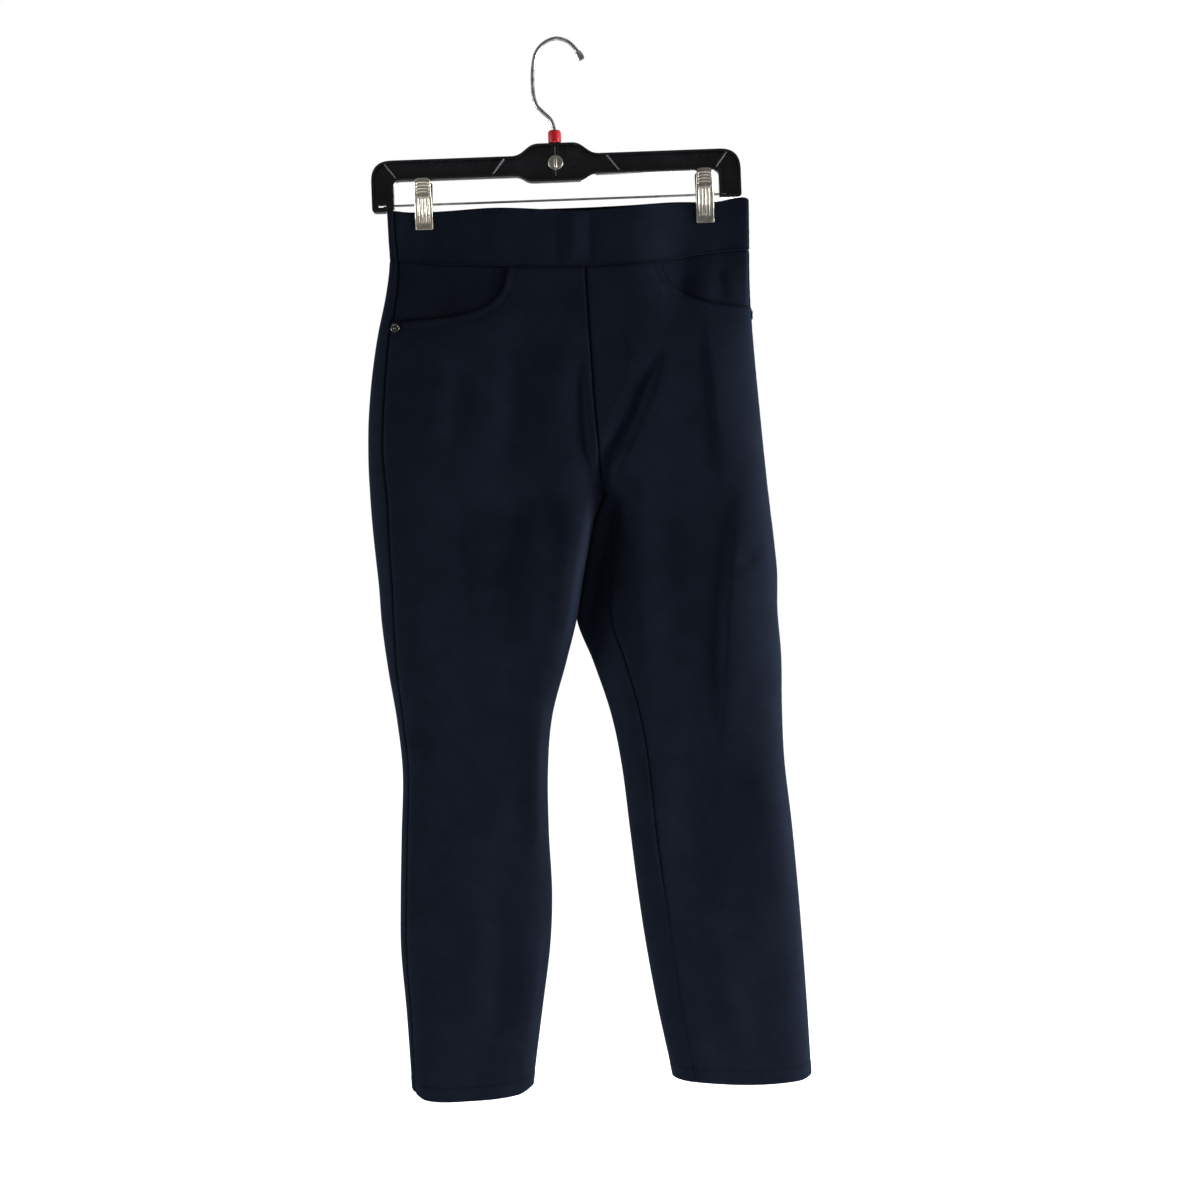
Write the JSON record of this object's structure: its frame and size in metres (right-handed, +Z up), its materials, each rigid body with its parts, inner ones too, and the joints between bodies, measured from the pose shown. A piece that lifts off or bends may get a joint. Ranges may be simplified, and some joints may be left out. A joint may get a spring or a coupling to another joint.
{
  "type": "leggings on a clip hanger",
  "caption": "Pull-on knit ankle leggings with a wide waistband, scoop front pockets and rivets, clipped flat by the waistband to a bottom hanger.",
  "frame": {"origin": "seat inside the top of the hanger's hook, where a rail carries it", "axes": "+Z up along the hanging leggings, front faces -Y, +X towards the wearer's left"},
  "size_m": [0.4048, 0.0671, 1.0185],
  "materials": {
    "ponte_knit": "navy double knit, matte with a soft bloom",
    "dark_nickel": "polished with dark recesses",
    "black_plastic": "glossy moulded",
    "hook_chrome": "plated wire, slightly dull",
    "red_plastic": "glossy moulded",
    "clip_nickel": "nickel plate, satin"
  },
  "bodies": {
    "root": {"front_leg_right": "ponte_knit", "back_leg_right": "ponte_knit", "front_leg_left": "ponte_knit", "back_leg_left": "ponte_knit", "pocket_facing_right": "ponte_knit", "pocket_facing_left": "ponte_knit", "waistband_front": "ponte_knit", "waistband_back": "ponte_knit", "rivet_right": "dark_nickel", "rivet_left": "dark_nickel", "hanger_body": "black_plastic", "hook": "hook_chrome", "hook_collar": "red_plastic", "hub_pin": "clip_nickel", "clip_rod": "clip_nickel", "clip_right_front": "clip_nickel", "clip_right_back": "clip_nickel", "clip_right_spring": "clip_nickel", "clip_left_front": "clip_nickel", "clip_left_back": "clip_nickel", "clip_left_spring": "clip_nickel"}
  },
  "joints": []
}
